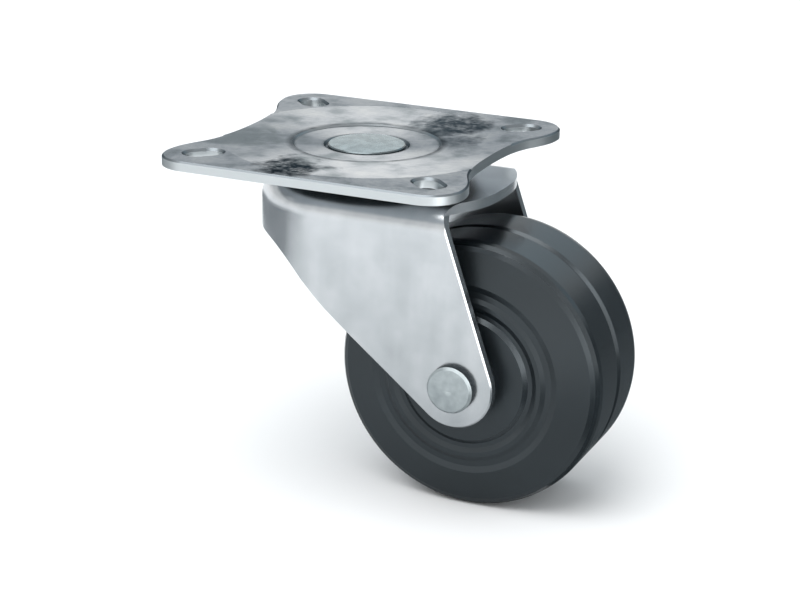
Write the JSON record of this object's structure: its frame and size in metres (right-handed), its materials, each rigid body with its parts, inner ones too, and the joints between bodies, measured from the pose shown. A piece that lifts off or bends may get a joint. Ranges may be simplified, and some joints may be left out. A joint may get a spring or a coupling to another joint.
{
  "type": "swivel plate castor",
  "caption": "Light swivel furniture castor with a slotted square top plate, a bent steel fork and a dark moulded wheel with a grooved tread.",
  "frame": {"origin": "on the swivel axis, in the plane of the plate's mounting face", "axes": "+Z out of the mounting face towards the furniture, +X the way the wheel trails, +Y along the axle"},
  "size_m": [0.0789, 0.0586, 0.063],
  "materials": {
    "zinc_plate": "bright zinc plate, slightly mottled",
    "rivet_steel": "zinc-plated, satin",
    "race_steel": "hardened steel, light oil",
    "ball_steel": "polished bearing steel",
    "wheel_plastic": "moulded, satin charcoal"
  },
  "bodies": {
    "plate": {"top_plate": "zinc_plate", "kingpin": "rivet_steel", "lower_race": "race_steel"},
    "fork": {"fork": "zinc_plate", "axle_rivet": "rivet_steel", "axle_sleeve": "rivet_steel"},
    "wheel": {"wheel": "wheel_plastic"},
    "upper_balls": {"upper_ball_01": "ball_steel", "upper_ball_02": "ball_steel", "upper_ball_03": "ball_steel", "upper_ball_04": "ball_steel", "upper_ball_05": "ball_steel", "upper_ball_06": "ball_steel", "upper_ball_07": "ball_steel", "upper_ball_08": "ball_steel", "upper_ball_09": "ball_steel", "upper_ball_10": "ball_steel", "upper_ball_11": "ball_steel", "upper_ball_12": "ball_steel", "upper_ball_13": "ball_steel", "upper_ball_14": "ball_steel", "upper_ball_15": "ball_steel", "upper_ball_16": "ball_steel"},
    "lower_balls": {"lower_ball_01": "ball_steel", "lower_ball_02": "ball_steel", "lower_ball_03": "ball_steel", "lower_ball_04": "ball_steel", "lower_ball_05": "ball_steel", "lower_ball_06": "ball_steel", "lower_ball_07": "ball_steel", "lower_ball_08": "ball_steel", "lower_ball_09": "ball_steel", "lower_ball_10": "ball_steel", "lower_ball_11": "ball_steel", "lower_ball_12": "ball_steel", "lower_ball_13": "ball_steel", "lower_ball_14": "ball_steel"}
  },
  "joints": [
    {"name": "swivel", "type": "hinge", "parent": "plate", "child": "fork", "pos_m": [0, 0, 0], "axis": [0, 0, 1], "continuous": true},
    {"name": "wheel_spin", "type": "hinge", "parent": "fork", "child": "wheel", "pos_m": [0.0253, 0, -0.038], "axis": [0, 1, 0], "continuous": true},
    {"name": "upper_ball_orbit", "type": "hinge", "parent": "plate", "child": "upper_balls", "pos_m": [0, 0, 0], "axis": [0, 0, 1], "continuous": true},
    {"name": "lower_ball_orbit", "type": "hinge", "parent": "plate", "child": "lower_balls", "pos_m": [0, 0, 0], "axis": [0, 0, 1], "continuous": true}
  ],
  "couplings": [
    {"joint": "upper_ball_orbit", "follows": "swivel", "ratio": 0.5},
    {"joint": "lower_ball_orbit", "follows": "swivel", "ratio": 0.5}
  ]
}
